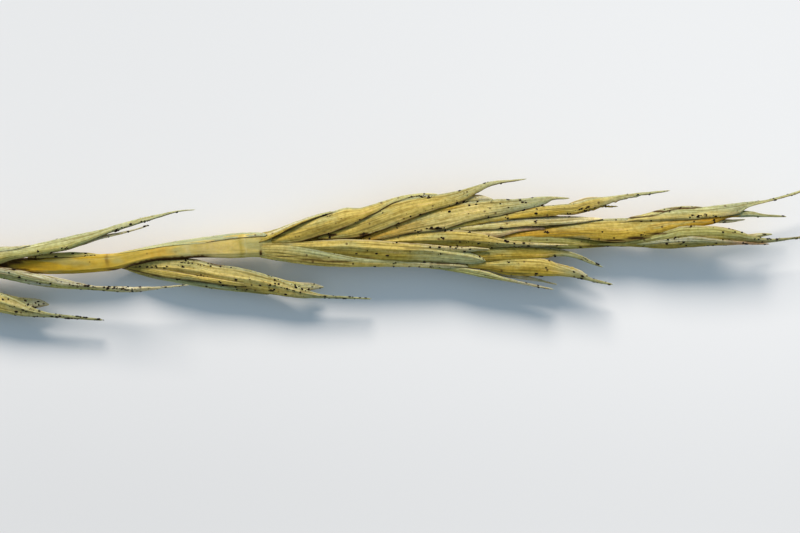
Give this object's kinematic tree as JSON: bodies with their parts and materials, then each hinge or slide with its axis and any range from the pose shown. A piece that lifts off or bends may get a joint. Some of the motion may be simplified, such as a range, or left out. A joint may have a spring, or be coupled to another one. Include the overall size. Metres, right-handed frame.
{
  "type": "wheatgrass seed head",
  "caption": "Dried wheatgrass seed head lying down: a noded rachis on a short cut culm, slender spikelets along it and a larger end spikelet of overlapping awn-tipped florets.",
  "frame": {"origin": "middle of the bottom of the whole seed head's box, on the surface that it lies on", "axes": "+X runs along the head towards the awn tips, +Y across it, +Z up from the surface it lies on; the picture looks straight down, with +Y upwards"},
  "size_m": [0.066, 0.0058, 0.0016],
  "materials": {
    "rachis": "smooth dry stem, golden amber on its inner face and pale green along its outer edge",
    "husk": "dry papery husk with fine lengthwise nerves, golden straw to grey green, pale at the tips and flecked with small dark specks"
  },
  "bodies": {
    "root": {"rachis": "rachis", "terminal_spikelet": "husk", "spikelet_1": "husk", "spikelet_2": "husk", "spikelet_3": "husk", "spikelet_4": "husk", "spikelet_5": "husk", "spikelet_6": "husk"}
  },
  "joints": []
}
